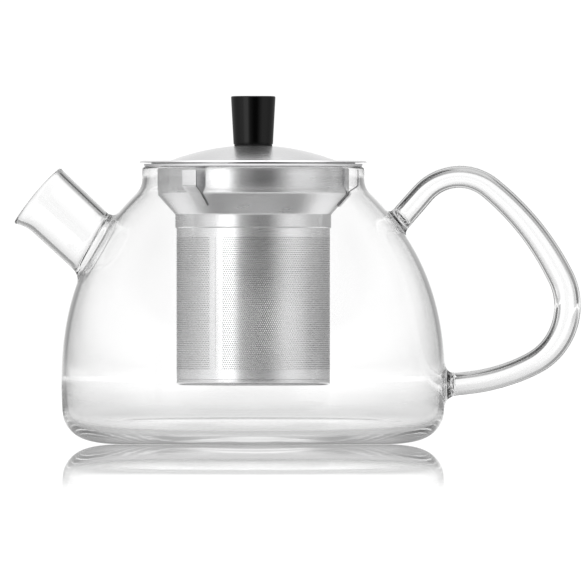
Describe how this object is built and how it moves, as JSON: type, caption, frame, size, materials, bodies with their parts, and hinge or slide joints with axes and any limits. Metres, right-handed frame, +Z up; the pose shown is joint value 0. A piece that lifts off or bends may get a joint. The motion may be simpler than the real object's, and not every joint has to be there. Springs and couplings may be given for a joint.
{
  "type": "teapot",
  "caption": "Glass teapot with a round belly, short tube spout and looped tube handle, a hanging perforated steel tea strainer with spring clips, and a domed steel lid with a black knob.",
  "frame": {"origin": "centre of the flat base, on the pot's axis, at table height", "axes": "+Z up along the pot's axis, +X towards the handle, -X towards the spout"},
  "size_m": [0.2271, 0.1538, 0.1392],
  "materials": {
    "clear_glass": "clear blown borosilicate glass, fire polished",
    "brushed_steel": "satin, turned with fine rings",
    "perforated_foil": "satin, etched with fine staggered holes",
    "spring_steel": "bright",
    "black_knob": "satin black with a soft sheen",
    "black_silicone": "matt",
    "insert_brass": "turned"
  },
  "bodies": {
    "pot": {"glass_body": "clear_glass", "spout": "clear_glass", "handle": "clear_glass"},
    "strainer": {"infuser_collar": "brushed_steel", "infuser_tube": "perforated_foil", "infuser_base": "brushed_steel"},
    "clip_right": {"spring_clip_right": "spring_steel"},
    "clip_front": {"spring_clip_front": "spring_steel"},
    "clip_back": {"spring_clip_back": "spring_steel"},
    "lid": {"lid_plate": "brushed_steel", "lid_locating_ring": "brushed_steel", "knob": "black_knob", "knob_insert": "insert_brass", "knob_washer": "black_silicone", "knob_screw": "spring_steel", "screw_washer": "spring_steel"}
  },
  "joints": [
    {"name": "strainer_lift", "type": "slide", "parent": "pot", "child": "strainer", "axis": [0, 0, 1], "range_m": [0, 0.1]},
    {"name": "lid_lift", "type": "slide", "parent": "strainer", "child": "lid", "axis": [0, 0, 1], "range_m": [0, 0.04]},
    {"name": "clip_right_flex", "type": "hinge", "parent": "strainer", "child": "clip_right", "pos_m": [0.03803, -0.0048, 0.0996], "axis": [-0.1253, -0.9921, 0], "range_deg": [0, 3], "stiffness_Nm_per_rad": 0.02, "springref_deg": -5.73},
    {"name": "clip_front_flex", "type": "hinge", "parent": "strainer", "child": "clip_front", "pos_m": [-0.02317, -0.03053, 0.0996], "axis": [-0.7965, 0.6046, 0], "range_deg": [0, 3], "stiffness_Nm_per_rad": 0.02, "springref_deg": -5.73},
    {"name": "clip_back_flex", "type": "hinge", "parent": "strainer", "child": "clip_back", "pos_m": [-0.01485, 0.03533, 0.0996], "axis": [0.9219, 0.3875, 0], "range_deg": [0, 3], "stiffness_Nm_per_rad": 0.02, "springref_deg": -5.73}
  ]
}
